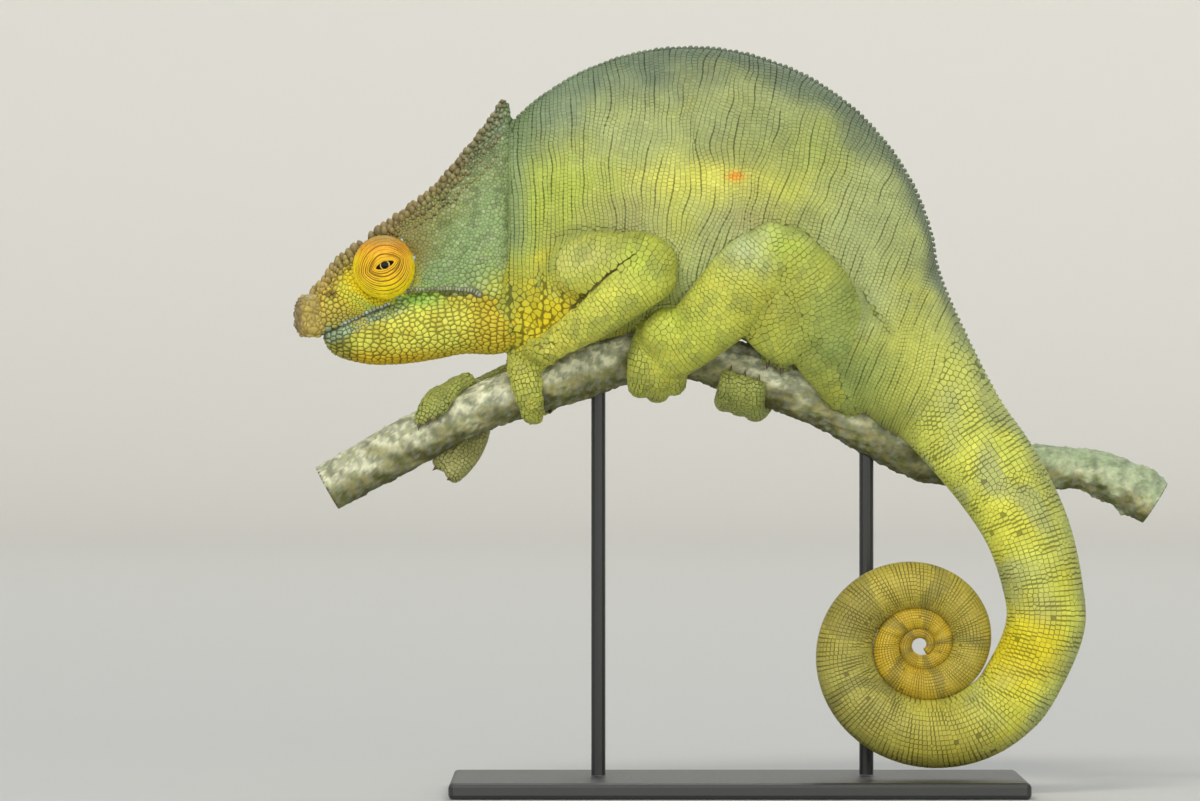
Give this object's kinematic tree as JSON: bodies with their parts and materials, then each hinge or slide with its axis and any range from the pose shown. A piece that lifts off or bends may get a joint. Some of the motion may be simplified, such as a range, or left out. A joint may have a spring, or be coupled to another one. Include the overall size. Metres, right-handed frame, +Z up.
{
  "type": "life-size museum model of a chameleon on a perch",
  "caption": "Still, life-size model of a large casqued chameleon gripping a cut length of branch, its tail hanging in a coil, on a flat display stand.",
  "frame": {"origin": "centre of the display base's underside", "axes": "-X is the way the animal faces, -Y its left side, +Z up"},
  "size_m": [0.3213, 0.118, 0.2732],
  "materials": {
    "skin": "dry scaly skin, yellow-green with grey-green back, dark creases between the scales",
    "eye_turret": "finely granular orange-yellow lid skin with dark ring folds, a small glossy black pupil in a pale gold ring",
    "horn": "worn tan horny plates with paler edges",
    "bark": "rough grey-green bark with lichen and warts, pale sawn ends",
    "stand": "satin black powder coat"
  },
  "bodies": {
    "root": {"head": "skin", "lower_jaw": "skin", "neck": "skin", "trunk": "skin", "hips": "skin", "tail_base": "skin", "tail_hanging": "skin", "tail_lower": "skin", "tail_coil_outer": "skin", "tail_coil_second": "skin", "tail_coil_third": "skin", "tail_tip": "skin", "upper_arm_left": "skin", "forearm_left": "skin", "hand_left": "skin", "fingers_outer_left": "skin", "fingers_inner_left": "skin", "thigh_left": "skin", "shank_left": "skin", "foot_left": "skin", "toes_outer_left": "skin", "toes_inner_left": "skin", "upper_arm_right": "skin", "forearm_right": "skin", "hand_right": "skin", "fingers_outer_right": "skin", "fingers_inner_right": "skin", "thigh_right": "skin", "shank_right": "skin", "foot_right": "skin", "toes_outer_right": "skin", "toes_inner_right": "skin", "eye_left": "eye_turret", "eye_right": "eye_turret", "horn_left": "horn", "horn_right": "horn", "perch": "bark", "stand_base": "stand", "stand_rod_front": "stand", "stand_rod_rear": "stand"}
  },
  "joints": []
}
